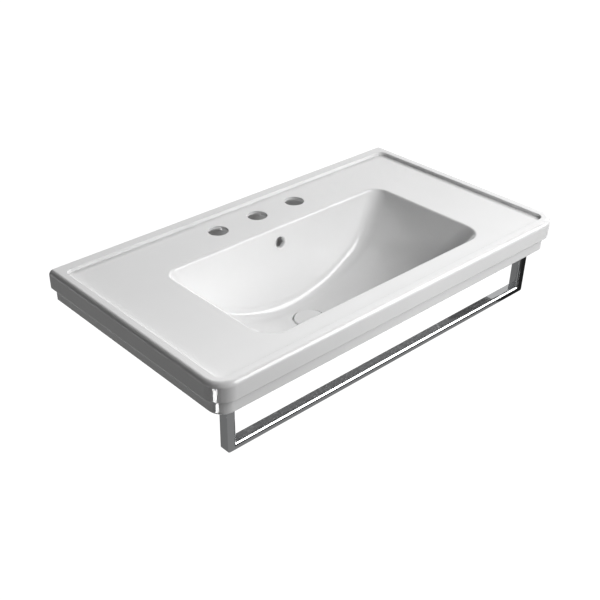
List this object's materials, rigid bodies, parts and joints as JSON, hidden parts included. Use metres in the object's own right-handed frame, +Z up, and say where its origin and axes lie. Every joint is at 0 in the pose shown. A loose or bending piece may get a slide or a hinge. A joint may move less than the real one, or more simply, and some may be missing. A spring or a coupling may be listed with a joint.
{
  "type": "washbasin",
  "caption": "Wall-hung ceramic washbasin with a raised rim, scooped bowl, tap holes, overflow, push-to-open waste and a chromed towel rail under its stepped front.",
  "frame": {"origin": "on the wall face of the basin, halfway between its two wall fixing holes", "axes": "+X along the wall to the right, +Y out of the basin's back into the wall, +Z up"},
  "size_m": [0.9, 0.5, 0.2855],
  "materials": {
    "glaze": "glossy white glaze",
    "cover_glaze": "glossy white glaze",
    "chrome": "polished chrome plate",
    "waste_chrome": "chrome plate on brass",
    "steel": "plain stainless steel",
    "brass": "plain brass",
    "rubber": "matt black rubber",
    "nylon": "natural nylon",
    "carrier_plastic": "dark moulded plastic"
  },
  "bodies": {
    "basin_body": {"basin": "glaze", "towel_rail": "chrome", "rail_bracket_left": "steel", "rail_bracket_right": "steel", "rail_pad_left": "rubber", "rail_pad_right": "rubber", "rail_screws": "steel", "rail_washers": "steel", "rail_plugs": "nylon", "rail_grub_screws": "steel", "fixing_bushes": "nylon", "waste_body": "waste_chrome", "flange_gasket": "rubber", "under_gasket": "rubber", "slip_washer": "nylon", "back_nut": "brass", "cartridge_body": "brass", "cartridge_cap": "carrier_plastic", "cartridge_spring": "steel", "cartridge_locknut": "brass"},
    "plug": {"plug_cover": "cover_glaze", "plug_carrier": "carrier_plastic", "plug_seal": "rubber", "plug_spindle": "steel"}
  },
  "joints": [
    {"name": "plug_lift", "type": "slide", "parent": "basin_body", "child": "plug", "axis": [0, 0, 1], "range_m": [0, 0.008], "deforming": ["cartridge_spring"]}
  ]
}
